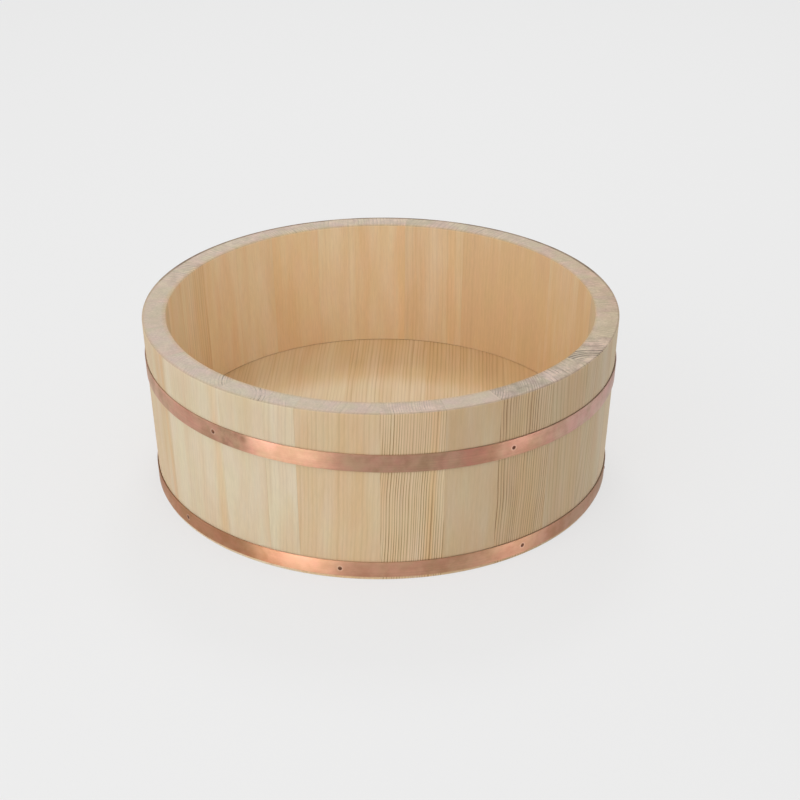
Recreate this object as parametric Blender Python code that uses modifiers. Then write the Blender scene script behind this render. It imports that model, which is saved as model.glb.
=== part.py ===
"""A sushi rice tub: tapered wooden staves round a planked floor, held by two copper hoops.

Metres, +Z up. The origin is the centre of the circle that the foot stands on.
Angles are degrees anticlockwise from +X, seen from above.
Run it with blender --background --python part.py, or from Blender's text editor.
"""
import math

import bmesh
import bpy
from mathutils import Matrix, Vector

# The ring of staves
RIM_RADIUS = 0.200          # outside of the wall, at the rim
HEIGHT = 0.150
WALL = 0.020                # thickness of every stave
TAPER = 2.6                 # degrees that the wall leans out towards the rim
RIM_ROUND = 0.0012          # radius of the eased edges of the rim
FOOT_ROUND = 0.0015         # radius of the eased edges of the foot
# Where one stave meets the next
STAVE_JOINTS = [
    5, 17, 33, 47, 65, 83, 98, 109, 124, 137, 151, 165, 178.5,
    194, 210.5, 231.5, 243.5, 251, 270, 284.5, 297.5, 312, 325, 340, 355,
]

# The floor and the groove that holds it
FLOOR_LIFT = 0.018          # underside of the floor, above the foot
FLOOR_THICKNESS = 0.017
CROZE_DEPTH = 0.005         # how far the floor's edge goes into the wall
FLOOR_TURN = -2.5           # degrees from +Y to the run of the planks
PLANK_COUNT = 5
PEG_DIAMETER = 0.0045
PEG_LENGTH = 0.036
PEG_INSET = 0.045           # from the end of a joint to the peg across it

# The hoops
HOOP_WIDTH = 0.015
HOOP_THICKNESS = 0.0008
UPPER_HOOP_DROP = 0.0355    # from the rim down to the upper hoop's top edge
LOWER_HOOP_LIFT = 0.0015    # from the foot up to the lower hoop's bottom edge

# The tacks that pin the hoops
UPPER_TACKS = 5
UPPER_FIRST_TACK = 13       # degrees
LOWER_TACKS = 8
LOWER_FIRST_TACK = 35.5     # degrees
TACK_HEAD = 0.0028          # diameter
TACK_HEAD_HEIGHT = 0.0007
TACK_SHANK = 0.0014         # diameter
TACK_LENGTH = 0.008         # from under the head to the point
TACK_POINT = 0.002          # length of the pointed end

# Fits and facets
CLEARANCE = 0.0003          # gap between pieces that touch on the real tub
FACET = 3.0                 # degrees of the ring that one facet spans
ROUND_STEPS = 2             # facets in an eased edge
PIN_SIDES = 12              # facets round a tack or a peg
DOME_STEPS = 3              # facets from the top of a tack's head to its edge
MERGE = 0.000001

# Sizes that follow from the ones above
SLOPE = math.tan(math.radians(TAPER))
FLOOR_TOP = FLOOR_LIFT + FLOOR_THICKNESS
FLOOR_MIDDLE = FLOOR_LIFT + FLOOR_THICKNESS / 2
UPPER_HOOP_BOTTOM = HEIGHT - UPPER_HOOP_DROP - HOOP_WIDTH


def outer_radius(height):
    """Outside of the wall at a height above the foot."""
    return RIM_RADIUS - (HEIGHT - height) * SLOPE


def inner_radius(height):
    """Inside of the wall at a height above the foot."""
    return outer_radius(height) - WALL


CROZE_RADIUS = inner_radius(FLOOR_MIDDLE) + CROZE_DEPTH
FLOOR_RADIUS = CROZE_RADIUS - CLEARANCE
PLANK_WIDTH = 2 * FLOOR_RADIUS / PLANK_COUNT

# Colour, roughness and metallic value of each finish
FINISHES = {
    "stave_wood": ((0.66, 0.48, 0.29, 1.0), 0.62, 0.0),
    "floor_wood": ((0.63, 0.43, 0.24, 1.0), 0.62, 0.0),
    "peg_bamboo": ((0.58, 0.47, 0.27, 1.0), 0.55, 0.0),
    "hoop_copper": ((0.60, 0.31, 0.22, 1.0), 0.38, 1.0),
    "tack_copper": ((0.30, 0.15, 0.10, 1.0), 0.45, 1.0),
}


def clear_scene():
    """Remove what the scene holds before the tub is built."""
    for item in list(bpy.data.objects):
        bpy.data.objects.remove(item)


def new_collection(name):
    collection = bpy.data.collections.new(name)
    bpy.context.scene.collection.children.link(collection)
    return collection


def make_material(name):
    colour, roughness, metallic = FINISHES[name]
    material = bpy.data.materials.new(name)
    material.use_nodes = True
    shader = material.node_tree.nodes["Principled BSDF"]
    shader.inputs["Base Color"].default_value = colour
    shader.inputs["Roughness"].default_value = roughness
    shader.inputs["Metallic"].default_value = metallic
    material.diffuse_color = colour
    return material


def add_part(name, mesh, material, placed=Matrix.Identity(4)):
    """Link one piece of the tub, shaded smooth except at its real edges."""
    mesh.shade_smooth()
    mesh.set_sharp_from_angle(angle=math.radians(30))
    mesh.materials.clear()
    mesh.materials.append(material)
    part = bpy.data.objects.new(name, mesh)
    part.matrix_world = placed
    tub.objects.link(part)
    return part


def rounded(corners):
    """A profile whose corners (radius, height, rounding) are replaced by arcs."""
    profile = []
    for index, (radius, height, rounding) in enumerate(corners):
        corner = Vector((radius, height))
        if rounding == 0:
            profile.append(corner)
            continue
        last = Vector(corners[index - 1][:2])
        following = Vector(corners[(index + 1) % len(corners)][:2])
        to_last = (last - corner).normalized()
        to_following = (following - corner).normalized()
        half_angle = to_last.angle(to_following) / 2
        middle = (to_last + to_following).normalized()
        centre = corner + middle * (rounding / math.sin(half_angle))
        tangent = rounding / math.tan(half_angle)
        start = corner + to_last * tangent - centre
        end = corner + to_following * tangent - centre
        for step in range(ROUND_STEPS + 1):
            direction = start.slerp(end, step / ROUND_STEPS)
            profile.append(centre + direction.normalized() * rounding)
    return profile


def turn(profile, sweep, steps, closed):
    """Turn a profile at +X about the Z axis, as a mesh; a part turn gets flat ends."""
    outline = bpy.data.meshes.new("profile")
    points = [(radius, 0, height) for radius, height in profile]
    edges = [(i, i + 1) for i in range(len(points) - 1)]
    if closed:
        edges.append((len(points) - 1, 0))
    outline.from_pydata(points, edges, [])
    guide = bpy.data.objects.new("profile", outline)
    bpy.context.scene.collection.objects.link(guide)
    whole_turn = math.isclose(sweep, 360)
    screw = guide.modifiers.new("turn", "SCREW")
    screw.angle = math.radians(sweep)
    screw.steps = steps
    screw.render_steps = steps
    screw.use_merge_vertices = whole_turn
    screw.merge_threshold = MERGE
    evaluated = guide.evaluated_get(bpy.context.evaluated_depsgraph_get())
    solid = bpy.data.meshes.new_from_object(evaluated)
    bpy.data.objects.remove(guide)
    bm = bmesh.new()
    bm.from_mesh(solid)
    open_edges = [edge for edge in bm.edges if edge.is_boundary]
    if open_edges:
        bmesh.ops.holes_fill(bm, edges=open_edges, sides=0)
    bmesh.ops.recalc_face_normals(bm, faces=bm.faces)
    bm.to_mesh(solid)
    bm.free()
    return solid


def cylinder(radius, bottom, top, sides):
    """A closed cylinder along Z, as a mesh."""
    mesh = bpy.data.meshes.new("cylinder")
    bm = bmesh.new()
    bmesh.ops.create_cone(
        bm, cap_ends=True, segments=sides, radius1=radius, radius2=radius, depth=top - bottom
    )
    bmesh.ops.translate(bm, vec=(0, 0, (top + bottom) / 2), verts=bm.verts)
    bm.to_mesh(mesh)
    bm.free()
    return mesh


def add_cutter(name, mesh, placed):
    cutter = bpy.data.objects.new(name, mesh)
    cutter.matrix_world = placed
    cutter.hide_render = True
    cutter.display_type = "WIRE"
    cutters.objects.link(cutter)
    return cutter


def bore(part, cutter):
    """Cut a hole in a part with the cutter's shape."""
    cut = part.modifiers.new(cutter.name, "BOOLEAN")
    cut.operation = "DIFFERENCE"
    cut.object = cutter


def stave_profile():
    """Cross-section of the wall, with the croze for the floor, rim first, down the outside."""
    croze_bottom = FLOOR_LIFT - CLEARANCE
    croze_top = FLOOR_TOP + CLEARANCE
    corners = [
        (outer_radius(HEIGHT), HEIGHT, RIM_ROUND),
        (outer_radius(0), 0, FOOT_ROUND),
        (inner_radius(0), 0, FOOT_ROUND),
        (inner_radius(croze_bottom), croze_bottom, 0),
        (CROZE_RADIUS, croze_bottom, 0),
        (CROZE_RADIUS, croze_top, 0),
        (inner_radius(croze_top), croze_top, 0),
        (inner_radius(HEIGHT), HEIGHT, RIM_ROUND),
    ]
    return rounded(corners)


def build_staves(wood):
    """Each stave is the wall's profile turned from one joint to the next."""
    profile = stave_profile()
    margin = math.degrees(CLEARANCE / 2 / inner_radius(0))
    staves = []
    for index, start in enumerate(STAVE_JOINTS):
        end = STAVE_JOINTS[(index + 1) % len(STAVE_JOINTS)]
        width = (end - start) % 360
        sweep = width - 2 * margin
        mesh = turn(profile, sweep, math.ceil(sweep / FACET), closed=True)
        placed = Matrix.Rotation(math.radians(start + margin), 4, "Z")
        stave = add_part(f"stave_{index + 1:02d}", mesh, wood, placed)
        staves.append((stave, start, width))
    return staves


def build_hoop(name, bottom, copper):
    """A flat strip that follows the taper of the wall."""
    top = bottom + HOOP_WIDTH
    profile = [
        (outer_radius(top) + CLEARANCE + HOOP_THICKNESS, top),
        (outer_radius(bottom) + CLEARANCE + HOOP_THICKNESS, bottom),
        (outer_radius(bottom) + CLEARANCE, bottom),
        (outer_radius(top) + CLEARANCE, top),
    ]
    mesh = turn(profile, 360, round(360 / FACET), closed=True)
    return add_part(name, mesh, copper)


def tack_profile():
    """A low dome on a pointed shank, from the top of the head to the point."""
    head = TACK_HEAD / 2
    shank = TACK_SHANK / 2
    profile = []
    for step in range(DOME_STEPS + 1):
        angle = math.pi / 2 * step / DOME_STEPS
        profile.append((head * math.sin(angle), TACK_HEAD_HEIGHT * math.cos(angle)))
    profile.append((shank, 0))
    profile.append((shank, TACK_POINT - TACK_LENGTH))
    profile.append((0, -TACK_LENGTH))
    return profile


def tack_place(angle, height):
    """Where a tack's head rests: on the hoop, square to the wall, with Z pointing out."""
    lean = math.radians(TAPER)
    spin = Matrix.Rotation(math.radians(angle), 4, "Z")
    tilt = Matrix.Rotation(math.pi / 2 + lean, 4, "Y")
    seat = outer_radius(height) + 2 * CLEARANCE + HOOP_THICKNESS
    return spin @ Matrix.Translation((seat, 0, height)) @ tilt


def build_tacks(prefix, hoop, bottom, count, first, staves, copper):
    """Evenly spaced tacks through a hoop into the staves behind it."""
    height = bottom + HOOP_WIDTH / 2
    hole_radius = TACK_SHANK / 2 + CLEARANCE
    reach = math.degrees(hole_radius / outer_radius(height))
    for index in range(count):
        angle = (first + index * 360 / count) % 360
        placed = tack_place(angle, height)
        name = f"{prefix}_tack_{index + 1}"
        mesh = turn(tack_profile(), 360, PIN_SIDES, closed=False)
        add_part(name, mesh, copper, placed)
        hole = cylinder(hole_radius, -TACK_LENGTH - CLEARANCE, TACK_HEAD, PIN_SIDES)
        cutter = add_cutter(f"{name}_hole", hole, placed)
        bore(hoop, cutter)
        for stave, start, width in staves:
            if (angle - start + reach) % 360 < width + 2 * reach:
                bore(stave, cutter)


def saw(mesh, place, outwards):
    """Cut a mesh at a plane, drop what lies outwards of it and close the cut."""
    bm = bmesh.new()
    bm.from_mesh(mesh)
    geometry = bm.verts[:] + bm.edges[:] + bm.faces[:]
    bmesh.ops.bisect_plane(
        bm, geom=geometry, dist=MERGE, plane_co=place, plane_no=outwards, clear_outer=True
    )
    open_edges = [edge for edge in bm.edges if edge.is_boundary]
    bmesh.ops.holes_fill(bm, edges=open_edges, sides=0)
    bmesh.ops.recalc_face_normals(bm, faces=bm.faces)
    bm.to_mesh(mesh)
    bm.free()


def build_planks(wood):
    """The round floor, sawn into planks that run away from the front of the tub."""
    turned = Matrix.Rotation(math.radians(FLOOR_TURN), 4, "Z")
    planks = []
    for index in range(PLANK_COUNT):
        left = -FLOOR_RADIUS + index * PLANK_WIDTH
        right = left + PLANK_WIDTH
        board = cylinder(FLOOR_RADIUS, FLOOR_LIFT, FLOOR_TOP, round(360 / FACET))
        if index > 0:
            saw(board, (left + CLEARANCE / 2, 0, 0), (-1, 0, 0))
        if index < PLANK_COUNT - 1:
            saw(board, (right - CLEARANCE / 2, 0, 0), (1, 0, 0))
        planks.append(add_part(f"floor_plank_{index + 1}", board, wood, turned))
    return planks


def build_pegs(planks, bamboo):
    """Two blind pegs across each joint of the floor."""
    turned = Matrix.Rotation(math.radians(FLOOR_TURN), 4, "Z")
    across = Matrix.Rotation(math.pi / 2, 4, "Y")
    half = PEG_LENGTH / 2
    number = 1
    for joint in range(1, PLANK_COUNT):
        place = -FLOOR_RADIUS + joint * PLANK_WIDTH
        joint_end = math.sqrt(FLOOR_RADIUS ** 2 - place ** 2)
        for side in (-1, 1):
            centre = (place, side * (joint_end - PEG_INSET), FLOOR_MIDDLE)
            placed = turned @ Matrix.Translation(centre) @ across
            peg = cylinder(PEG_DIAMETER / 2, -half, half, PIN_SIDES)
            add_part(f"floor_peg_{number}", peg, bamboo, placed)
            hole = cylinder(
                PEG_DIAMETER / 2 + CLEARANCE, -half - CLEARANCE, half + CLEARANCE, PIN_SIDES
            )
            cutter = add_cutter(f"floor_peg_{number}_hole", hole, placed)
            bore(planks[joint - 1], cutter)
            bore(planks[joint], cutter)
            number += 1


clear_scene()
tub = new_collection("sushi_rice_tub")
cutters = new_collection("cutters")
finish = {name: make_material(name) for name in FINISHES}

all_staves = build_staves(finish["stave_wood"])
upper_hoop = build_hoop("upper_hoop", UPPER_HOOP_BOTTOM, finish["hoop_copper"])
lower_hoop = build_hoop("lower_hoop", LOWER_HOOP_LIFT, finish["hoop_copper"])
build_tacks(
    "upper", upper_hoop, UPPER_HOOP_BOTTOM, UPPER_TACKS, UPPER_FIRST_TACK,
    all_staves, finish["tack_copper"],
)
build_tacks(
    "lower", lower_hoop, LOWER_HOOP_LIFT, LOWER_TACKS, LOWER_FIRST_TACK,
    all_staves, finish["tack_copper"],
)
all_planks = build_planks(finish["floor_wood"])
build_pegs(all_planks, finish["peg_bamboo"])
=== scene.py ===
"""The looks of the sushi rice tub: bare softwood staves and floor, copper hoops and tacks.

Metres, +Z up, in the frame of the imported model. Angles are in radians unless a comment says
degrees.
"""
import math
from typing import NamedTuple

import bmesh
import bpy
from mathutils import Euler, Matrix, Vector


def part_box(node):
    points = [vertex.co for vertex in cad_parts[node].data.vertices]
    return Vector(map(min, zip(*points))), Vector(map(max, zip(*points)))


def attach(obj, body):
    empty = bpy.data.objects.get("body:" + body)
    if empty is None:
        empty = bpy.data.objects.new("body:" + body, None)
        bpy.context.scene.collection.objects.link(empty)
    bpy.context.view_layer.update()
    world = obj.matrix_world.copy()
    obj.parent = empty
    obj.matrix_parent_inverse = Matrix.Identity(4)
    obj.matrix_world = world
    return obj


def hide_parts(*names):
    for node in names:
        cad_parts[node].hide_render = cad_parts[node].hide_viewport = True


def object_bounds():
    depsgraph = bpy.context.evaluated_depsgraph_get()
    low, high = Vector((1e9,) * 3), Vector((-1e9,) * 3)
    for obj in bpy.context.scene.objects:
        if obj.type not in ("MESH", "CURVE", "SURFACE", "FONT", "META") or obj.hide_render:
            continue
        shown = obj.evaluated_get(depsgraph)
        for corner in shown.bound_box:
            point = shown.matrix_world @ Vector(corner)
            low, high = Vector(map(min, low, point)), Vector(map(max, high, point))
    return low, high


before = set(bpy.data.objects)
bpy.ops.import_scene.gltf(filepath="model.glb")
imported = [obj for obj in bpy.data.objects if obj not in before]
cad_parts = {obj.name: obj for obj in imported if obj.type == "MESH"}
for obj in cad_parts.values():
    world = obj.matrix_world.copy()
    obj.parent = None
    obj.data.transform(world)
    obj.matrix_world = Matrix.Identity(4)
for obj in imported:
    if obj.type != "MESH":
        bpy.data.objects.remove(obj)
cad_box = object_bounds()

# The wall of staves
RIM_RADIUS = 0.200
HEIGHT = cad_box[1][2]
WALL = 0.020
INSIDE_RADIUS = RIM_RADIUS - WALL
TAPER = math.radians(2.6)
RIM_ROUND = 0.0012
FOOT_ROUND = 0.0006
ROUND_STEPS = 5
CROZE_DEPTH = 0.005  # of the groove that holds the floor
LIP_GAP = 0.0003  # between the floor and the sides of that groove
FACET = math.radians(0.75)  # of the ring that one facet spans

# All boards
ARRIS = 0.00012  # chamfer along the edges
ARRIS_ANGLE = math.radians(40)  # edges steeper than this get one
JOINT_GAP = 0.00003  # left between glued boards
SHARP = math.radians(30)  # edges steeper than this aren't shaded smooth
MERGE = 0.000001  # points closer than this are one

# The floor
FLOOR_TURN = math.radians(-2.5)  # from +Y to the run of the planks
FLOOR_SIDES = 240

# The hoops and their tacks
HOOP_THICKNESS = 0.0008
HOOP_GAP = 0.0003
HOOP_EDGE = 0.00015
HOOP_EDGE_STEPS = 2
HOOP_TRIM = {"upper": 0.0, "lower": 0.0014}  # off the bottom edge, to show the foot
HOOP_TILT = {"upper": 0.0175, "lower": 0.0}  # how much lower it sits, per metre to the right
SEAMS = {"upper": math.radians(233), "lower": math.radians(96)}  # of the brazed joints
SEAM_REACH = math.radians(5)  # how far along the strip its heat has stained it
SPOT_DROP = 0.004  # from a hoop's top edge to the darkest spot of the stain
TACK_HEAD = 0.0014  # radius
TACK_DOME = 0.0004  # height of the head
TACK_DOME_STEPS = 6
TACK_SHANK = 0.0007  # radius
TACK_LENGTH = 0.008
TACK_POINT = 0.002
TACK_SIDES = 20

# Where the wood is marked
BOLD_RADIUS = 0.031  # the years of bold rings lie this far from the pith
WANDER = 0.006  # how far the grain drifts along a board
TOP_BAND_HEIGHT = 0.128  # where a faint darker band lies on the outer staves
# The floor is painted paler in a round patch, a painted pool of light where light from behind
# reaches past the wall's shade
LIT_MIDDLE = (0, -0.087, 0.035)  # of the round patch of floor that light reaches
LIT_RADIUS = 0.180
SEED_STEP = 0.618  # from one board's seed to the next one's
FLOOR_SEED = 20

# Noises of the wood: waves per metre along X, Y and Z of a board, detail, roughness and shift
WOOD_NOISES = {
    "patches": ((60, 60, 14), 1.0, 0.5),
    "clouds": ((36, 36, 8), 2.0, 0.5),
    "streaks": ((80, 80, 5), 3.0, 0.55),
    "hues": ((60, 60, 25), 1.0, 0.5),
    "fibres": ((1100, 1100, 25), 2.0, 0.6),
    "specks": ((650, 650, 650), 3.0, 0.7),
    "mottle": ((95, 95, 95), 5.0, 0.7, (0.3, 0.7, 0.1)),
}
WANDER_WAVES = (4, 4, 9)
SEED_SHIFT = (3.1, 1.7, 5.3)  # moves each board to another place in the noises
ROLLED_LINES = (9, 9, 2600)  # waves per metre over the hoops
BAMBOO_FIBRES = (60, 1800, 1800)
WOOD_BUMP = 0.25
COPPER_BUMP = 0.08
BUMP_DEPTH = 0.0002

# Colours of the wood between its rings, of the rings, and of the ends
STAVE_COLOURS = {
    "Pale": (0.72, 0.61, 0.43, 1.0), "Tan": (0.74, 0.51, 0.28, 1.0),
    "Late": (0.46, 0.36, 0.22, 1.0), "End": (0.56, 0.465, 0.39, 1.0),
}
FLOOR_COLOURS = {
    "Pale": (0.735, 0.61, 0.42, 1.0), "Tan": (0.70, 0.48, 0.25, 1.0),
    "Late": (0.58, 0.43, 0.25, 1.0),
}
BAMBOO_DARK = (0.50, 0.38, 0.20, 1.0)
BAMBOO_LIGHT = (0.66, 0.54, 0.32, 1.0)

# Colours that cover others
# Darker marks: painted shade in the gaps over the hoops, and a darker rim edge and top band
DARKENED = (0.13, 0.075, 0.04, 1.0)
SCORCHED = (0.20, 0.10, 0.05, 1.0)  # copper, by the heat of brazing
TACK_HIGHLIGHT = (0.90, 0.64, 0.50, 1.0)  # painted highlight: copper made brighter round a tack
CREASE = (0.10, 0.04, 0.02, 1.0)  # painted shade, with some dark patina, in the gap round a tack's head

# Colours that others are multiplied by; of two, a noise picks one in between
FACE_HUES = ((0.992, 1.008, 0.985, 1.0), (1.008, 0.992, 1.015, 1.0))
END_HUES = ((0.97, 1.02, 0.97, 1.0), (1.02, 0.98, 1.03, 1.0))
COPPER_HUES = ((0.93, 1.04, 0.94, 1.0), (1.06, 0.93, 0.98, 1.0))
RUBBED = (0.98, 0.87, 0.70, 1.0)  # brown, where hands have rubbed the rim
PAINTED_REFLECTION = (0.85, 1.02, 1.24, 1.0)  # painted reflection: greyer copper on one side
BLUSH = (0.95, 0.80, 0.78, 1.0)  # redder copper

# The camera: the tub's centre shows at this pixel of the 800 x 800 picture
LENS = 80.96  # mm, on a sensor 36 mm wide
SENSOR = 36.0
PICTURE = 800
CAMERA_DISTANCE = 1.550
CAMERA_PITCH = math.radians(27.17)
CAMERA_TURN = math.radians(-0.3)
CENTRE_PIXEL = (381.3, 383.7)
TUB_CENTRE = Vector((0, 0, HEIGHT / 2))

# The paper and the light
BACKGROUND = 0.83  # linear grey of the backdrop behind the tub
PAPER_GLOW = 0.865  # and of the paper, which shadows darken
PAPER_SHADE = 0.25  # how much of the paper's brightness shadows can take away
PAPER_SIZE = 12.0
PAPER_FADE = (1.8, 4.5)  # from this far out to this far, the paper becomes the background
WORLD_STRENGTH = 0.62
# Name, azimuth and elevation in degrees, distance, width and height, watts, lights the wood
LAMPS = [
    ("key", 90, 53, 2.2, (0.6, 0.6), 9.0, True),
    ("left", 230, 30, 1.8, (1.15, 1.3), 7.5, True),
    ("right", 0, 30, 1.8, (2.4, 1.3), 1.5, True),
    ("front", 270, 62, 2.4, (1.2, 1.2), 5.0, True),
    ("left_strip", 228, 22, 1.6, (1.0, 1.0), 12.5, False),
    ("left_glow", 170, 22, 1.6, (1.9, 1.0), 4.5, False),
    ("right_strip", 332, 22, 1.6, (0.6, 1.0), 2.5, False),
    ("right_glow", 0, 22, 1.6, (2.2, 1.0), 5.0, False),
]

# Painted Highlight, Painted Reflection and Blush are each a middle and a half width round the
# tub, and an amount; one that is left out changes nothing. The first two are painted
# reflections: a side painted brighter and a side painted greyer. Blush is a redder patch of
# the copper itself.
HOOP_LOOKS = {
    "upper": {
        "Bright": (0.58, 0.335, 0.235, 1.0), "Dull": (0.44, 0.24, 0.155, 1.0), "Tarnish": 0.8,
        "Film": (math.radians(-20), math.radians(35), 0.8),
        "Blush": (math.radians(-67.5), math.radians(5.5), 0.8),
    },
    "lower": {
        # The lower hoop's Bright is lighter than the upper's, painted light for the shaded paper
        # that it reflects
        "Bright": (0.65, 0.365, 0.24, 1.0), "Dull": (0.43, 0.21, 0.11, 1.0), "Tarnish": 0.5,
        "Polish": (math.radians(-81), math.radians(36), 0.8),
        "Film": (math.radians(-20), math.radians(35), 1.0),
    },
}
TACK_LOOKS = {
    "Bright": (0.22, 0.10, 0.06, 1.0), "Dull": (0.07, 0.03, 0.02, 1.0), "Tarnish": 1.0,
}
NO_TACKS = (0, 1, 1)  # one metre up, far above the hoops


class Cut(NamedTuple):
    """How a board was sawn: millimetres and degrees, and strengths between 0 and 1."""

    pith: tuple  # where the log's centre lies, out of the face and across
    ring: float  # width of a year ring
    face: float  # strength of the rings on the faces
    end: float = 0.2  # and on the ends
    tone: float = 0.5  # from pale to tan
    shade: float = 1.0  # darker under 1
    end_shade: float = 1.0  # the same for the ends
    lean: float = 0.0  # of the grain, on the face
    streak: tuple = (0, 1, 0)  # a darker band: its place across, half width and amount


# In the order of the frame's staves, anticlockwise from 5 degrees. Shade and end shade are
# partly painted light: the staves at the back, whose inner faces show, are made lighter and
# the outer staves on the right darker, besides each board's own tone.
STAVE_CUTS = [
    Cut((-30, 95), 3.4, 0.12, end=0.4, tone=0.95, end_shade=0.97),
    Cut((-20, -85), 3.6, 0.08, end=0.4, tone=0.9, shade=1.01),
    Cut((-10, 90), 3.4, 0.06, end=0.4, tone=1.0),
    Cut((-20, -95), 3.5, 0.1, end=0.4, tone=1.1),
    Cut((-25, -80), 4.2, 0.16, end=0.5, tone=0.75, shade=1.06, streak=(-16, 4, 0.4)),
    Cut((-15, 90), 3.0, 0.03, end=0.5, tone=0.65, shade=1.12, end_shade=1.02, streak=(-19, 4, 0.4)),
    Cut((-30, -90), 3.6, 0.08, end=0.4, tone=0.55, shade=1.15),
    Cut((-20, 95), 3.2, 0.04, end=0.5, tone=0.85, shade=1.13, streak=(-23, 2, -0.5)),
    Cut((-25, 90), 3.0, 0.02, end=0.5, tone=0.65, shade=1.12),
    Cut((-20, -90), 3.4, 0.03, end=0.4, tone=0.7, shade=1.13),
    Cut((-10, 80), 3.5, 0.3, end=0.6, tone=0.75, shade=1.08, streak=(-20, 4, 0.3)),
    Cut((-30, 90), 3.2, 0.15, end=0.3, tone=0.75, shade=1.04),
    # From 178.5 degrees, on the left
    Cut((-25, 85), 3.4, 0.12, tone=0.76, shade=0.89),
    Cut((-20, -90), 3.6, 0.12, tone=0.6, shade=0.935, end_shade=0.98, streak=(24, 3, 0.4)),
    Cut((-40, 50), 2.8, 0.12, end=0.3, tone=0.17, streak=(32, 5, 0.45)),
    Cut((6, -14), 3.2, 0.05, tone=0.18, shade=0.99),
    Cut((-40, 80), 3.4, 0.2, end=0.3, tone=0.2),
    Cut((-25, -90), 3.8, 0.22, tone=0.66, shade=0.96, lean=3.5, streak=(14, 20, 0.17)),
    Cut((-10, 95), 2.05, 1.1, end=0.55, tone=0.68, shade=0.99, lean=2.4, streak=(19, 3.5, 0.45)),
    Cut((-20, 90), 3.6, 0.06, end=0.1, tone=0.78, shade=0.828),
    Cut((-55, -71), 2.0, 1.4, end=0.9, tone=0.85, shade=0.85, end_shade=0.9, lean=4),
    Cut((-30, -70), 4.0, 0.45, end=0.8, tone=0.7, shade=0.8, end_shade=1.02),
    Cut((8, -34), 3.2, 0.4, end=1.0, shade=0.8, end_shade=1.06),
    Cut((-20, -90), 3.8, 0.3, end=0.4, shade=0.86),
    Cut((-25, 80), 3.4, 0.25, end=0.5, tone=0.6, shade=0.88, end_shade=0.96),
]

# In the order of the frame's planks, from the left
PLANK_CUTS = [
    Cut((-20, 90), 3.4, 0.36, tone=0.72),
    Cut((-15, 95), 3.4, 0.28, tone=0.74),
    Cut((-20, -95), 3.4, 0.48, tone=0.8),
    Cut((-15, 110), 3.5, 0.6, tone=0.94, shade=0.99),
    Cut((-15, -100), 3.8, 0.24, tone=1.08, shade=0.98),
]


# The frame

def named_nodes(prefix):
    """The CAD nodes whose names start so, in order of their numbers."""
    found = [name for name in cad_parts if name.startswith(prefix)]
    return sorted(found, key=lambda name: int(name.rsplit("_", 1)[1]))


def span(name):
    """Centre angle and half width of a stave in the frame."""
    places = [vertex.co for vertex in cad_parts[name].data.vertices]
    middle = sum(places, Vector())
    centre = math.atan2(middle.y, middle.x)
    turned = [math.remainder(math.atan2(p.y, p.x) - centre, math.tau) for p in places]
    centre += (max(turned) + min(turned)) / 2
    return centre, (max(turned) - min(turned)) / 2


def cad_margin():
    """Half of the angle that the CAD leaves free between two staves."""
    staves = named_nodes("stave_")
    covered = sum(2 * span(name)[1] for name in staves)
    return (math.tau - covered) / 2 / len(staves)


def hoop_edges(prefix):
    """The heights of a hoop's bottom and top, where it isn't tilted."""
    low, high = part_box(f"{prefix}_hoop")
    return low.z + HOOP_TRIM[prefix], high.z


def outer_radius(height):
    return RIM_RADIUS - (HEIGHT - height) * math.tan(TAPER)


def inner_radius(height):
    return outer_radius(height) - WALL


# Meshes

def added(name, data):
    """A new object in the scene."""
    obj = bpy.data.objects.new(name, data)
    bpy.context.scene.collection.objects.link(obj)
    return obj


def as_mesh(bm, name):
    mesh = bpy.data.meshes.new(name)
    bm.to_mesh(mesh)
    bm.free()
    return mesh


def finished(obj, name):
    """The evaluated object as a plain mesh piece, in place of the object itself."""
    evaluated = obj.evaluated_get(bpy.context.evaluated_depsgraph_get())
    mesh = bpy.data.meshes.new_from_object(evaluated)
    bpy.data.objects.remove(obj)
    mesh.name = name
    mesh.shade_smooth()
    mesh.set_sharp_from_angle(angle=SHARP)
    return added(name, mesh)


def chamfer(obj):
    """A bevel on the sharp edges of a board."""
    bevel = obj.modifiers.new("chamfer", "BEVEL")
    bevel.width = ARRIS
    bevel.limit_method = "ANGLE"
    bevel.angle_limit = ARRIS_ANGLE


def drill(obj, cutter):
    """Cut the shape of another piece out of an object."""
    cut = obj.modifiers.new("drill", "BOOLEAN")
    cut.operation = "DIFFERENCE"
    cut.object = cutter
    return finished(obj, obj.name)


def closed_line(name, points):
    """An object holding one closed profile, as edges in the XY plane."""
    mesh = bpy.data.meshes.new(name)
    edges = [(index, (index + 1) % len(points)) for index in range(len(points))]
    mesh.from_pydata([(x, y, 0) for x, y in points], edges, [])
    return added(name, mesh)


def rounded(corners, steps):
    """A closed profile whose corners (x, y, rounding) are replaced by arcs."""
    profile = []
    for index, (x, y, rounding) in enumerate(corners):
        corner = Vector((x, y))
        if rounding == 0:
            profile.append(corner)
            continue
        before = (Vector(corners[index - 1][:2]) - corner).normalized()
        after = (Vector(corners[(index + 1) % len(corners)][:2]) - corner).normalized()
        half_angle = before.angle(after) / 2
        centre = corner + (before + after).normalized() * (rounding / math.sin(half_angle))
        reach = rounding / math.tan(half_angle)
        start = corner + before * reach - centre
        end = corner + after * reach - centre
        for step in range(steps + 1):
            direction = start.slerp(end, step / steps).normalized()
            profile.append(centre + direction * rounding)
    return profile


def saw(bm, place, outwards):
    """Drop what lies outwards of a plane and close the cut."""
    geometry = bm.verts[:] + bm.edges[:] + bm.faces[:]
    bmesh.ops.bisect_plane(
        bm, geom=geometry, dist=MERGE, plane_co=place, plane_no=outwards, clear_outer=True
    )
    open_edges = [edge for edge in bm.edges if edge.is_boundary]
    bmesh.ops.holes_fill(bm, edges=open_edges, sides=0)


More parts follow.
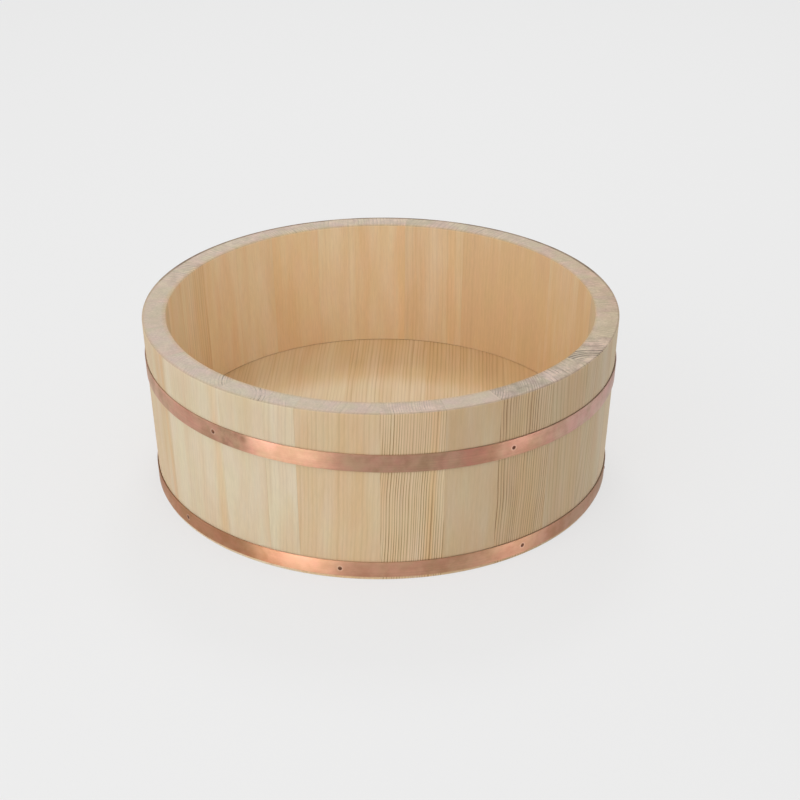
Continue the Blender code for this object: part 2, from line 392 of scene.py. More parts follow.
def merged_copy(name, nodes):
    """One object with the closed shapes of some CAD nodes."""
    bm = bmesh.new()
    for node_name in nodes:
        bm.from_mesh(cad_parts[node_name].data)
    bmesh.ops.remove_doubles(bm, verts=bm.verts, dist=MERGE)
    return added(name, as_mesh(bm, name))


# Nodes

def node(tree, kind, inputs=None, **settings):
    """A new node; each input is a value or the socket that feeds it."""
    made = tree.nodes.new(kind)
    for name, value in settings.items():
        setattr(made, name, value)
    for name, value in (inputs or {}).items():
        if isinstance(value, bpy.types.NodeSocket):
            tree.links.new(value, made.inputs[name])
        else:
            made.inputs[name].default_value = value
    return made


def new_tree(name, kind, **sockets):
    """A node group with its sockets listed by type; its inputs and results are returned too."""
    tree = bpy.data.node_groups.new(name, kind)
    for in_out, types in sockets.items():
        for socket_type, names in types.items():
            for socket in names:
                tree.interface.new_socket(
                    socket, in_out=in_out, socket_type=f"NodeSocket{socket_type}"
                )
    given = tree.nodes.new("NodeGroupInput").outputs
    return tree, given, tree.nodes.new("NodeGroupOutput").inputs


def maths(tree, operation, first, second=0.0, third=0.0):
    inputs = {0: first, 1: second, 2: third}
    return node(tree, "ShaderNodeMath", inputs, operation=operation).outputs[0]


def plus(tree, first, second):
    return maths(tree, "ADD", first, second)


def minus(tree, first, second):
    return maths(tree, "SUBTRACT", first, second)


def times(tree, first, second):
    return maths(tree, "MULTIPLY", first, second)


def times_plus(tree, first, second, third):
    return maths(tree, "MULTIPLY_ADD", first, second, third)


def distance(tree, first, second):
    return maths(tree, "ABSOLUTE", minus(tree, first, second))


def mix_number(tree, factor, first, second):
    """A number between two others."""
    return times_plus(tree, factor, minus(tree, second, first), first)


def remap(tree, value, low, high, new_low=0.0, new_high=1.0, kind="LINEAR"):
    """A number brought from one range to another, and kept inside it."""
    inputs = {0: value, 1: low, 2: high, 3: new_low, 4: new_high}
    return node(tree, "ShaderNodeMapRange", inputs, interpolation_type=kind).outputs[0]


def smooth(tree, value, low, high, new_low=0.0, new_high=1.0):
    """The same with a soft start and end."""
    return remap(tree, value, low, high, new_low, new_high, "SMOOTHSTEP")


def split(tree, vector):
    return node(tree, "ShaderNodeSeparateXYZ", {0: vector}).outputs[:3]


def join(tree, x, y, z):
    return node(tree, "ShaderNodeCombineXYZ", {0: x, 1: y, 2: z}).outputs[0]


def vectors(tree, operation, first, second=(0, 0, 0)):
    """A vector sum; LENGTH and DISTANCE give a number."""
    made = node(tree, "ShaderNodeVectorMath", {0: first, 1: second}, operation=operation)
    return made.outputs["Value" if operation in ("LENGTH", "DISTANCE") else "Vector"]


def flat_length(tree, x, y):
    return vectors(tree, "LENGTH", join(tree, x, y, 0.0))


def wrapped(tree, angle, step):
    """An angle brought to between -step/2 and step/2."""
    turns = maths(tree, "DIVIDE", angle, step)
    return times(tree, minus(tree, turns, maths(tree, "ROUND", turns)), step)


def reaches_away(tree, angle, middle, reach):
    """How far one angle lies from another, with the reach counted as 1."""
    away = wrapped(tree, minus(tree, angle, middle), math.tau)
    return maths(tree, "DIVIDE", maths(tree, "ABSOLUTE", away), reach)


def noise(tree, place, waves, detail=2.0, roughness=0.5, shift=(0, 0, 0), output="Fac"):
    """Soft noise between 0 and 1, with so many waves per metre along X, Y and Z."""
    waving = vectors(tree, "MULTIPLY", vectors(tree, "ADD", place, shift), waves)
    inputs = {"Vector": waving, "Scale": 1.0, "Detail": detail, "Roughness": roughness}
    return node(tree, "ShaderNodeTexNoise", inputs).outputs[output]


def noise_along(tree, value, waves, detail):
    """Soft noise between 0 and 1 along one number."""
    inputs = {"W": value, "Scale": waves, "Detail": detail}
    return node(tree, "ShaderNodeTexNoise", inputs, noise_dimensions="1D").outputs["Fac"]


def grey(tree, value):
    """A number as a colour."""
    return node(tree, "ShaderNodeCombineColor", {0: value, 1: value, 2: value}).outputs[0]


def mix(tree, factor, first, second, blend="MIX"):
    """Two colours mixed; MULTIPLY gives the first times the second, by that factor."""
    inputs = {0: factor, 6: first, 7: second}
    made = node(tree, "ShaderNodeMix", inputs, data_type="RGBA", blend_type=blend)
    return made.outputs[2]


def tint(tree, colour, shade):
    """A colour made lighter or darker by a number near 1."""
    return mix(tree, 1.0, colour, grey(tree, shade), "MULTIPLY")


def shift_hue(tree, colour, field, hues, amount=1.0):
    """A colour multiplied by one between two hues, as a noise goes."""
    hue = mix(tree, remap(tree, field, 0.35, 0.65), *hues)
    return mix(tree, amount, colour, hue, "MULTIPLY")


# Geometry Nodes trees

def finish_tree(tree, geometry, given, result):
    """Every tree ends in Realize Instances and Set Material."""
    real = node(tree, "GeometryNodeRealizeInstances", {"Geometry": geometry})
    dressed = node(
        tree, "GeometryNodeSetMaterial",
        {"Geometry": real.outputs[0], "Material": given["Material"]},
    )
    tree.links.new(dressed.outputs[0], result["Geometry"])


def round_axis(tree, angle, radius, height):
    """The place at an angle round the Z axis."""
    x = times(tree, radius, maths(tree, "COSINE", angle))
    y = times(tree, radius, maths(tree, "SINE", angle))
    return join(tree, x, y, height)


def bent_strip_tree():
    """A profile (radius, -height) drawn round the Z axis from one angle through another."""
    tree, given, result = new_tree(
        "Bent Strip", "GeometryNodeTree",
        INPUT={
            "Geometry": ("Profile",), "Float": ("Start", "Sweep"), "Int": ("Sections",),
            "Bool": ("Capped",), "Material": ("Material",),
        },
        OUTPUT={"Geometry": ("Geometry",)},
    )
    profile = node(tree, "GeometryNodeMeshToCurve", {"Mesh": given["Profile"]})
    path = node(tree, "GeometryNodeCurvePrimitiveLine", {"End": (0, 1, 0)})
    sections = {"Curve": path.outputs[0], "Count": given["Sections"]}
    stepped = node(tree, "GeometryNodeResampleCurve", sections)
    strip = node(
        tree, "GeometryNodeCurveToMesh",
        {
            "Curve": stepped.outputs[0], "Profile Curve": profile.outputs[0],
            "Fill Caps": given["Capped"],
        },
    )
    radius, along, height = split(tree, node(tree, "GeometryNodeInputPosition").outputs[0])
    angle = times_plus(tree, along, given["Sweep"], given["Start"])
    bent = node(
        tree, "GeometryNodeSetPosition",
        {"Geometry": strip.outputs[0], "Position": round_axis(tree, angle, radius, height)},
    )
    closed = node(
        tree, "GeometryNodeMergeByDistance", {"Geometry": bent.outputs[0], "Distance": MERGE}
    )
    finish_tree(tree, closed.outputs[0], given, result)
    return tree


def tack_ring_tree():
    """Copies of a tack, standing out of a cone round the Z axis."""
    tree, given, result = new_tree(
        "Tack Ring", "GeometryNodeTree",
        INPUT={
            "Geometry": ("Tack",), "Int": ("Count",), "Material": ("Material",),
            "Float": ("First Angle", "Radius", "Height", "Lean"),
        },
        OUTPUT={"Geometry": ("Geometry",)},
    )
    points = node(tree, "GeometryNodePoints", {"Count": given["Count"]})
    index = node(tree, "GeometryNodeInputIndex").outputs[0]
    step = maths(tree, "DIVIDE", math.tau, given["Count"])
    angle = times_plus(tree, index, step, given["First Angle"])
    place = round_axis(tree, angle, given["Radius"], given["Height"])
    spread = node(
        tree, "GeometryNodeSetPosition", {"Geometry": points.outputs[0], "Position": place}
    )
    tilt = plus(tree, math.pi / 2, given["Lean"])
    copies = node(
        tree, "GeometryNodeInstanceOnPoints",
        {
            "Points": spread.outputs[0], "Instance": given["Tack"],
            "Rotation": join(tree, 0.0, tilt, angle),
        },
    )
    finish_tree(tree, copies.outputs[0], given, result)
    return tree


def grow(obj, tree, **values):
    """Add a Geometry Nodes tree to an object, with its inputs set by name."""
    grower = obj.modifiers.new(tree.name, "NODES")
    grower.node_group = tree
    for item in tree.interface.items_tree:
        key = item.name.lower().replace(" ", "_")
        if item.in_out == "INPUT" and key in values:
            grower[item.identifier] = values[key]


# The wood's shader group

BOARD_ATTRIBUTES = ("Board", "Pith", "Grain", "Tone", "Streak")
SURFACE = {"Color": ("Color",), "Float": ("Roughness", "Height")}


def put_out(tree, result, colour, roughness, height):
    """Join what makes a surface to the outputs of a shader group."""
    tree.links.new(colour, result["Color"])
    tree.links.new(roughness, result["Roughness"])
    tree.links.new(height, result["Height"])


def distance_from_pith(tree, board, place, pith):
    """The radius in the log, which wanders a little along the board."""
    wander = noise(tree, place, WANDER_WAVES, output="Color")
    bend = vectors(tree, "SUBTRACT", wander, (0.5, 0.5, 0.5))
    bend = vectors(tree, "MULTIPLY", bend, (WANDER, WANDER, 0.0))
    from_pith = vectors(tree, "MULTIPLY", vectors(tree, "SUBTRACT", board, pith), (1, 1, 0))
    return vectors(tree, "LENGTH", vectors(tree, "ADD", from_pith, bend))


def year_lines(tree, radius, ring_width, seed):
    """The dark line that ends each year: a slow fade from early wood, then a quick return."""
    along = plus(tree, radius, seed)
    uneven = times(tree, noise_along(tree, along, 90.0, 2.0), 1.5)
    years = plus(tree, maths(tree, "DIVIDE", radius, ring_width), uneven)
    season = maths(tree, "FRACT", years)
    fade = smooth(tree, season, 0.50, 0.90)
    back = smooth(tree, season, 0.93, 1.0, 1.0, 0.0)
    year = plus(tree, maths(tree, "FLOOR", years), seed)
    luck = node(tree, "ShaderNodeTexWhiteNoise", {"W": year}, noise_dimensions="1D")
    strength = remap(tree, luck.outputs["Value"], 0.0, 1.0, 0.6, 1.1)
    lines = times(tree, times(tree, fade, back), strength)
    hair_lines = remap(tree, noise_along(tree, along, 900.0, 1.0), 0.50, 0.75, 0.0, 0.3)
    return maths(tree, "MAXIMUM", lines, hair_lines)


def broken_lines(tree, lines, noises, end_grain):
    """Year lines that fade in patches, and that are broken up on the ends."""
    faintest = mix_number(tree, end_grain, 0.55, 0.3)
    lines = times(tree, lines, remap(tree, noises["patches"], 0.38, 0.60, faintest, 1.0))
    lines = times(tree, lines, remap(tree, noises["fibres"], 0.3, 0.7, 0.8, 1.1))
    on_end = times(tree, lines, remap(tree, noises["mottle"], 0.40, 0.60, 1.5, 0.3))
    return mix_number(tree, end_grain, lines, on_end)


def late_wood(tree, given, noises, radius, seed):
    """How dark the year rings are, from 0 to 1."""
    end_grain = given["End Grain"]
    on_face, on_end, _ = split(tree, given["Grain"])
    lines = year_lines(tree, radius, split(tree, given["Pith"])[2], seed)
    lines = broken_lines(tree, lines, noises, end_grain)
    bold = remap(tree, distance(tree, radius, BOLD_RADIUS), 0.003, 0.007, 5.0, 0.8)
    strength = mix_number(tree, end_grain, on_face, times(tree, on_end, bold))
    return maths(tree, "MINIMUM", times(tree, lines, strength), 1.0)


def early_wood(tree, given, noises):
    """The colour between the rings: pale to tan, in streaks and clouds, with one darker band."""
    tone, shade, _ = split(tree, given["Tone"])
    band_place, band_width, band_amount = split(tree, given["Streak"])
    streaks, clouds = noises["streaks"], noises["clouds"]
    across = times_plus(tree, streaks, 0.002, split(tree, given["Board"])[1])
    off_band = maths(tree, "DIVIDE", distance(tree, across, band_place), band_width)
    tone = times_plus(tree, remap(tree, off_band, 0.4, 1.2, 1.0, 0.0), band_amount, tone)
    tone = plus(tree, tone, remap(tree, clouds, 0.3, 0.7, -0.14, 0.14))
    tone = plus(tree, tone, remap(tree, streaks, 0.25, 0.75, -0.35, 0.35))
    # A painted pool of light: the floor's wood is made paler where light reaches it
    tone = times_plus(tree, given["Bleach"], -0.5, tone)
    colour = mix(tree, tone, given["Pale"], given["Tan"])
    colour = shift_hue(tree, colour, noises["hues"], FACE_HUES)
    # Lift adds painted light and shade to the faces
    colour = tint(tree, colour, plus(tree, shade, given["Lift"]))
    colour = tint(tree, colour, remap(tree, streaks, 0.25, 0.75, 1.03, 0.97))
    return tint(tree, colour, remap(tree, clouds, 0.3, 0.7, 1.025, 0.975))


def end_wood(tree, given, noises, early, late):
    """The colour of end grain: greyer, mottled and speckled, with the same rings in places."""
    end_rings = split(tree, given["Grain"])[1]
    end_shade = split(tree, given["Tone"])[2]
    colour = mix(tree, 0.22, given["End"], early)
    colour = tint(tree, colour, end_shade)
    colour = mix(tree, given["Rubbed"], colour, RUBBED, "MULTIPLY")
    coarse = times_plus(tree, maths(tree, "MINIMUM", end_rings, 1.0), 0.50, 0.02)
    mottled = times(tree, remap(tree, noises["mottle"], 0.36, 0.64, 0.35, -0.65), coarse)
    colour = tint(tree, colour, plus(tree, mottled, 1.0))
    colour = shift_hue(tree, colour, noises["hues"], END_HUES)
    colour = tint(tree, colour, remap(tree, late, 0.0, 1.0, 1.0, 0.35))
    return tint(tree, colour, remap(tree, noises["specks"], 0.25, 0.75, 0.88, 1.12))


def solid_wood_group():
    """Softwood sawn from a log, in the board's own coordinates.

    Board is X out of the face, Y across and Z along the grain. Pith is where the log's centre
    lies from the board, and its Z is the width of a year ring. Grain holds the strength of the
    rings on the faces and on the ends, and a number that makes this board differ from the
    others. Tone goes from pale to tan, and its Y and Z shade the faces and the ends. Streak is
    a darker band: its place across the board, its half width and its amount. Four masks go from
    0 to 1. End Grain is where the wood is cut across. Darkening is where it is made darker:
    painted shade in the gaps over the hoops, and darker marks on the rim and near the top.
    Painted Light Pool is where the floor is painted paler, a painted pool of light. Rubbed is
    where hands have worn its ends. Lift is painted light and shade, added to the faces' shade.
    """
    tree, given, result = new_tree(
        "Solid Wood", "ShaderNodeTree",
        INPUT={
            "Vector": BOARD_ATTRIBUTES,
            "Float": ("End Grain", "Darkening", "Bleach", "Rubbed", "Lift"),
            "Color": ("Pale", "Tan", "Late", "End"),
        },
        OUTPUT=SURFACE,
    )
    board, end_grain = given["Board"], given["End Grain"]
    seed = split(tree, given["Grain"])[2]
    shift = vectors(tree, "MULTIPLY", join(tree, seed, seed, seed), SEED_SHIFT)
    place = vectors(tree, "ADD", board, shift)
    noises = {name: noise(tree, place, *how) for name, how in WOOD_NOISES.items()}

    radius = distance_from_pith(tree, board, place, given["Pith"])
    late = late_wood(tree, given, noises, radius, seed)
    early = early_wood(tree, given, noises)
    face = mix(tree, late, early, given["Late"], "MULTIPLY")
    face = tint(tree, face, remap(tree, noises["fibres"], 0.25, 0.75, 0.95, 1.05))
    end = end_wood(tree, given, noises, early, late)
    colour = mix(tree, end_grain, face, end)
    colour = mix(tree, given["Darkening"], colour, DARKENED)

    rough = remap(tree, late, 0.0, 1.0, 0.62, 0.50)
    rough = times_plus(tree, end_grain, 0.18, rough)
    ridge = times_plus(tree, late, 0.6, times(tree, noises["fibres"], 0.5))
    put_out(tree, result, colour, rough, ridge)
    return tree


# The copper's shader group

def tarnished(tree, given, angle, clouds, blotches):
    """How dull the strip is: in patches, and all over away from the side painted bright, a painted
    reflection.
    """
    both = times_plus(tree, blotches, 0.45, times(tree, clouds, 0.55))
    patches = smooth(tree, both, 0.38, 0.66)
    # Away from the side with a painted highlight, a painted reflection, the strip is duller
    middle, reach, dullness = split(tree, given["Polish"])
    off_highlight = reaches_away(tree, angle, middle, reach)
    dull = times(tree, smooth(tree, off_highlight, 0.6, 1.3), dullness)
    tarnish = plus(tree, times(tree, patches, given["Tarnish"]), dull)
    return maths(tree, "MINIMUM", tarnish, 1.0)


def heat_stain(tree, given, angle, height, blotches):
    """How far heat has stained the strip beside its brazed joint, with one darkest spot."""
    seam, reach, spot_height = split(tree, given["Seam"])
    off_seam = reaches_away(tree, angle, seam, reach)
    stain = smooth(tree, off_seam, 0.5, 1.1, 1.0, 0.0)
    broken = smooth(tree, blotches, 0.44, 0.62)
    stain = times(tree, times(tree, stain, broken), 0.15)
    along = times(tree, reaches_away(tree, angle, plus(tree, seam, reach), 1.0), RIM_RADIUS)
    from_spot = flat_length(tree, along, minus(tree, height, spot_height))
    ragged = times_plus(tree, blotches, 0.004, from_spot)
    spot = smooth(tree, ragged, 0.003, 0.007, 0.4, 0.0)
    return maths(tree, "MAXIMUM", stain, spot)


def distance_from_tack(tree, given, angle, height):
    """How far a place on the strip lies from the middle of the nearest tack."""
    first, step, tack_height = split(tree, given["Tacks"])
    along = times(tree, wrapped(tree, minus(tree, angle, first), step), RIM_RADIUS)
    return flat_length(tree, along, minus(tree, height, tack_height))


def worn_copper_group():
    """Rolled copper strip: patches of tarnish, fine lines, and a painted highlight round each tack.

    Tacks is the angle of the first tack, the angle between two, and their height. Seam is the
    angle of the brazed joint, where heat has stained the metal, half its length, and the height
    of its darkest spot. Painted Highlight is the middle of a side painted brighter, a painted
    reflection, half its width, and how dull the rest is. Painted Reflection is the middle of a
    side painted greyer, also a painted reflection, half its width and its amount, and Blush the
    same for a redder patch of the copper itself.
    """
    tree, given, result = new_tree(
        "Worn Copper", "ShaderNodeTree",
        INPUT={
            "Vector": ("Place", "Tacks", "Seam", "Polish", "Film", "Blush"),
            "Float": ("Tarnish",), "Color": ("Bright", "Dull"),
        },
        OUTPUT=SURFACE,
    )
    place = given["Place"]
    x, y, z = split(tree, place)
    angle = maths(tree, "ARCTAN2", y, x)
    clouds = noise(tree, place, (26, 26, 26), 4.0, 0.55)
    blotches = noise(tree, place, (120, 120, 120), 3.0, 0.6, (1.3, 0.4, 0.2))
    redness = noise(tree, place, (55, 55, 55), 3.0, 0.6, (0.2, 0.9, 0.5))
    lines = noise(tree, place, ROLLED_LINES, 2.0, 0.6)
    tarnish = tarnished(tree, given, angle, clouds, blotches)
    stain = heat_stain(tree, given, angle, z, blotches)
    from_tack = distance_from_tack(tree, given, angle, z)
    # Painted highlight round each tack, which also dents the strip, and painted shade with some
    # patina in the gap round its head
    halo = smooth(tree, from_tack, TACK_HEAD * 1.2, TACK_HEAD * 2.4, 1.0, 0.0)
    crease = remap(tree, from_tack, TACK_HEAD * 1.15, TACK_HEAD * 1.35, 0.8, 0.0)

    colour = mix(tree, tarnish, given["Bright"], given["Dull"])
    colour = mix(tree, stain, colour, SCORCHED)
    colour = mix(tree, times(tree, halo, 0.35), colour, TACK_HIGHLIGHT)
    colour = mix(tree, crease, colour, CREASE)
    colour = shift_hue(tree, colour, redness, COPPER_HUES, given["Tarnish"])
    # Painted reflection: one side greyer; Blush: a redder patch of the copper itself
    for cast, tone in (("Film", PAINTED_REFLECTION), ("Blush", BLUSH)):
        middle, reach, amount = split(tree, given[cast])
        cover = remap(tree, reaches_away(tree, angle, middle, reach), 0.5, 1.0, 1.0, 0.0)
        colour = mix(tree, times(tree, cover, amount), colour, tone, "MULTIPLY")
    colour = tint(tree, colour, remap(tree, lines, 0.25, 0.75, 0.91, 1.09))

    rough = remap(tree, tarnish, 0.0, 1.0, 0.43, 0.48)
    rough = plus(tree, rough, remap(tree, lines, 0.25, 0.75, -0.03, 0.03))
    swell = times_plus(tree, lines, 0.3, clouds)
    put_out(tree, result, colour, rough, times_plus(tree, halo, -0.8, swell))
    return tree


# Where the wood is darker and worn, and where light and shade are painted on it

def object_place(tree):
    return node(tree, "ShaderNodeTexCoord").outputs["Object"]


def rim_edge_darkening(tree, x, y, z, radius):
    """A darker line along the rim's outer edge, most behind and some on the right."""
    behind = remap(tree, y, -0.02, 0.08)
    on_right = remap(tree, x, -0.05, 0.10, 0.1, 0.4)
    drop = times(tree, minus(tree, z, HEIGHT), 3.0)
    from_edge = flat_length(tree, minus(tree, radius, RIM_RADIUS), drop)
    reach = remap(tree, y, -0.02, 0.08, 0.0006, 0.0025)
    dark_amount = remap(tree, minus(tree, from_edge, reach), 0.0, 0.0012, 1.0, 0.0)
    return times(tree, dark_amount, maths(tree, "MAXIMUM", on_right, behind))


def wall_darkening(tree, x, z):
    """A thin line of painted shade over each hoop, in the gap behind its top edge, and a faint
    darker band near the top of the wall.
    """
    # Painted shade in the gap behind each hoop's top edge, strongest on the right and far left
    on_right = remap(tree, x, 0.02, 0.10, 0.15, 0.8)
    far_left = remap(tree, x, -0.192, -0.178, 0.8, 0.15)
    gap_shade = maths(tree, "MAXIMUM", on_right, far_left)
    dark_amount = remap(tree, distance(tree, z, TOP_BAND_HEIGHT), 0.010, 0.022, 0.04, 0.0)
    for prefix, tilt in HOOP_TILT.items():
        above = distance(tree, times_plus(tree, x, tilt, z), hoop_edges(prefix)[1])
        line = remap(tree, above, 0.0002, 0.0008, gap_shade, 0.0)
        dark_amount = maths(tree, "MAXIMUM", dark_amount, line)
    return dark_amount


def rubbed_rim(tree, x, radius):
    """Where hands have rubbed the rim brown, from 0 to 1: its edges and its right side."""
    inner = remap(tree, radius, INSIDE_RADIUS, INSIDE_RADIUS + 0.0045, 1.0, 0.0)
    outer = remap(tree, radius, RIM_RADIUS - 0.0030, RIM_RADIUS, 0.0, 0.7)
    on_right = remap(tree, x, 0.13, 0.20, 0.0, 0.6)
    return maths(tree, "MAXIMUM", maths(tree, "MAXIMUM", inner, outer), on_right)


def stave_masks(tree):
    """Ends, darker marks and wear of the staves, and painted light and shade on their outer faces:
    lighter low down and at the foot, darker towards the top.
    """
    place = object_place(tree)
    x, y, z = split(tree, place)
    # How far from the axis a place would lie if the wall stood upright
    radius = times_plus(tree, minus(tree, HEIGHT, z), math.tan(TAPER), flat_length(tree, x, y))
    outside = remap(tree, radius, INSIDE_RADIUS, INSIDE_RADIUS + 0.004)
    on_wall = times(tree, wall_darkening(tree, x, z), outside)
    dark_amount = maths(tree, "MAXIMUM", rim_edge_darkening(tree, x, y, z, radius), on_wall)
    wavy = remap(tree, noise(tree, place, (40, 40, 40), 3.0), 0.35, 0.65, 0.5, 1.0)
    # Painted light and shade: the outer wall lighter low down and darker towards the top
    slope = remap(tree, z, 0.02, 0.13, 0.04, -0.02)
    # Painted light: the foot under the lower hoop made lighter, where the hoop shades it
    foot = remap(tree, z, 0.0030, 0.0040, 0.18, 0.0)
    normal = node(tree, "ShaderNodeNewGeometry").outputs["Normal"]
    upright = maths(tree, "ABSOLUTE", split(tree, normal)[2])
    return {
        "End Grain": smooth(tree, upright, 0.35, 0.65),
        "Darkening": times(tree, dark_amount, wavy),
        "Rubbed": rubbed_rim(tree, x, radius),
        "Lift": times(tree, plus(tree, slope, foot), outside),
    }


def floor_masks(tree):
    """A painted pool of light: the floor is painted paler where light from behind the tub falls on
    it, past the shade of the wall.
    """
    away = vectors(tree, "DISTANCE", object_place(tree), LIT_MIDDLE)
    return {"Bleach": smooth(tree, away, LIT_RADIUS - 0.020, LIT_RADIUS + 0.012, 1.0, 0.0)}


# Materials

def new_material(name):
    """An empty material with its Principled BSDF."""
    material = bpy.data.materials.new(name)
    material.use_nodes = True
    return material, material.node_tree, material.node_tree.nodes["Principled BSDF"]


def paint(tree, shader, group, bump, inputs):
    """Colour, roughness and bump from a shader group with these inputs."""
    surface = node(tree, "ShaderNodeGroup", inputs, node_tree=group)
    tree.links.new(surface.outputs["Color"], shader.inputs["Base Color"])
    tree.links.new(surface.outputs["Roughness"], shader.inputs["Roughness"])
    raised = node(
        tree, "ShaderNodeBump",
        {"Strength": bump, "Distance": BUMP_DEPTH, "Height": surface.outputs["Height"]},
    )
    tree.links.new(raised.outputs[0], shader.inputs["Normal"])


def wood_material(name, group, colours, masks):
    """Bare softwood, with each board's own cut and the masks that a function makes."""
    material, tree, shader = new_material(name)
    inputs = {**colours, **masks(tree)}
    for socket in BOARD_ATTRIBUTES:
        laid = node(tree, "ShaderNodeAttribute", attribute_name=socket.lower())
        inputs[socket] = laid.outputs["Vector"]
    paint(tree, shader, group, WOOD_BUMP, inputs)
    return material


def copper_material(name, group, prefix, brushed, inputs):
    """Worn copper, on Object coordinates in which a tilted hoop would lie level."""
    material, tree, shader = new_material(name)
    x, y, z = split(tree, object_place(tree))
    level = join(tree, x, y, times_plus(tree, x, HOOP_TILT[prefix], z))
    paint(tree, shader, group, COPPER_BUMP, {"Place": level, **inputs})
    shader.inputs["Metallic"].default_value = 1.0
    shader.inputs["Anisotropic"].default_value = brushed
    shader.inputs["Anisotropic Rotation"].default_value = 0.25
    return material


def bamboo_material():
    """Plain split bamboo for the hidden pegs, with fibres on Object coordinates."""
    material, tree, shader = new_material("bamboo")
    fibres = noise(tree, object_place(tree), BAMBOO_FIBRES)
    colour = mix(tree, fibres, BAMBOO_DARK, BAMBOO_LIGHT)
    tree.links.new(colour, shader.inputs["Base Color"])
    tree.links.new(remap(tree, fibres, 0.0, 1.0, 0.5, 0.6), shader.inputs["Roughness"])
    return material


# Pieces

def dress(piece, body_slot, *cad_nodes):
    """A finished piece rides on the tub's only body and stands for its CAD nodes."""
    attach(piece, "root")
    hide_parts(*cad_nodes)


def lay_grain(mesh, to_board, cut, seed):
    """Give a board its own coordinates and the way that it was sawn from the log."""
    count = len(mesh.vertices)
    to_grain = Matrix.Rotation(math.radians(cut.lean), 4, "X") @ to_board
    out, across = cut.pith
    band, half_width, amount = cut.streak
    rows = {
        "board": [to_grain @ vertex.co for vertex in mesh.vertices],
        "pith": [(out / 1000, across / 1000, cut.ring / 1000)] * count,
        "grain": [(cut.face, cut.end, seed)] * count,
        "tone": [(cut.tone, cut.shade, cut.end_shade)] * count,
        "streak": [(band / 1000, half_width / 1000, amount)] * count,
    }
    for name, values in rows.items():
        layer = mesh.attributes.new(name, "FLOAT_VECTOR", "POINT")
        layer.data.foreach_set("vector", [number for row in values for number in row])


def wall_profile(floor_bottom, floor_top):
    """Cross-section of the wall as (radius, -height), with the groove for the floor."""
    groove = inner_radius((floor_bottom + floor_top) / 2) + CROZE_DEPTH
    low = floor_bottom - LIP_GAP
    high = floor_top + LIP_GAP
    corners = [
        (outer_radius(HEIGHT), -HEIGHT, RIM_ROUND),
        (outer_radius(0), 0, FOOT_ROUND),
        (inner_radius(0), 0, FOOT_ROUND),
        (inner_radius(low), -low, 0),
        (groove, -low, 0),
        (groove, -high, 0),
        (inner_radius(high), -high, 0),
        (inner_radius(HEIGHT), -HEIGHT, RIM_ROUND),
    ]
    return rounded(corners, ROUND_STEPS)


def build_staves(strip_tree, wood):
    """One smooth, chamfered board for each stave of the frame."""
    low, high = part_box("floor_plank_1")
    profile = wall_profile(low.z, high.z)
    upright = Matrix.Rotation(TAPER, 4, "Y")
    rim = Matrix.Translation((-RIM_RADIUS, 0, -HEIGHT))
    margin = cad_margin() - JOINT_GAP / 2 / RIM_RADIUS
    for number, name in enumerate(named_nodes("stave_")):
        centre, half = span(name)
        half += margin
        board = closed_line(name, profile)
        grow(
            board, strip_tree, start=centre - half, sweep=2 * half,
            sections=math.ceil(2 * half / FACET) + 1, capped=True, material=wood,
        )
        chamfer(board)
        piece = finished(board, f"board_of_{name}")
        to_board = upright @ rim @ Matrix.Rotation(-centre, 4, "Z")
        lay_grain(piece.data, to_board, STAVE_CUTS[number], number * SEED_STEP)
        dress(piece, "stave_wood", name)


def sawn_board(name, radius, bottom, top, left, right):
    """A slice of the round floor between two joints; None stands for its round edge."""
    bm = bmesh.new()
    bmesh.ops.create_cone(
        bm, cap_ends=True, segments=FLOOR_SIDES, radius1=radius, radius2=radius, depth=top - bottom
    )
    bmesh.ops.translate(bm, vec=(0, 0, (top + bottom) / 2), verts=bm.verts)
    if left is not None:
        saw(bm, (left + JOINT_GAP / 2, 0, 0), (-1, 0, 0))
    if right is not None:
        saw(bm, (right - JOINT_GAP / 2, 0, 0), (1, 0, 0))
    bmesh.ops.recalc_face_normals(bm, faces=bm.faces)
    turn = Matrix.Rotation(FLOOR_TURN, 4, "Z")
    bmesh.ops.transform(bm, matrix=turn, verts=bm.verts)
    return as_mesh(bm, name)


def build_planks(wood):
    """The round floor, sawn where the frame's planks meet and bored for its pegs."""
    names = named_nodes("floor_plank_")
    low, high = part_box(names[0])
    radius = max(v.co.to_2d().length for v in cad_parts[names[0]].data.vertices)
    width = 2 * radius / len(names)
    # X out of the face is up, Y across and Z along the run of the plank
    face_up = Matrix(((0, 0, 1, 0), (1, 0, 0, 0), (0, 1, 0, 0), (0, 0, 0, 1)))
    turn_back = Matrix.Rotation(FLOOR_TURN, 4, "Z").inverted()
    pegs = merged_copy("peg_shapes", named_nodes("floor_peg_"))
    for number, name in enumerate(names):
        left = -radius + number * width
        left_joint = left if number > 0 else None
        right_joint = left + width if number < len(names) - 1 else None
        mesh = sawn_board(name, radius, low.z, high.z, left_joint, right_joint)
        mesh.materials.append(wood)
        board = added(name, mesh)
        chamfer(board)
        board = drill(finished(board, f"board_of_{name}"), pegs)
        to_middle = Matrix.Translation((-(left + width / 2), 0, -high.z))
        seed = FLOOR_SEED + number * SEED_STEP
        lay_grain(board.data, face_up @ to_middle @ turn_back, PLANK_CUTS[number], seed)
        dress(board, "floor_wood", name)
    bpy.data.objects.remove(pegs)


def tilted(piece, prefix):
    """A hoop or its tacks, lower on the right side as it was driven on."""
    slope = Matrix.Identity(4)
    slope[2][0] = -HOOP_TILT[prefix]
    piece.data.transform(slope)
    return piece


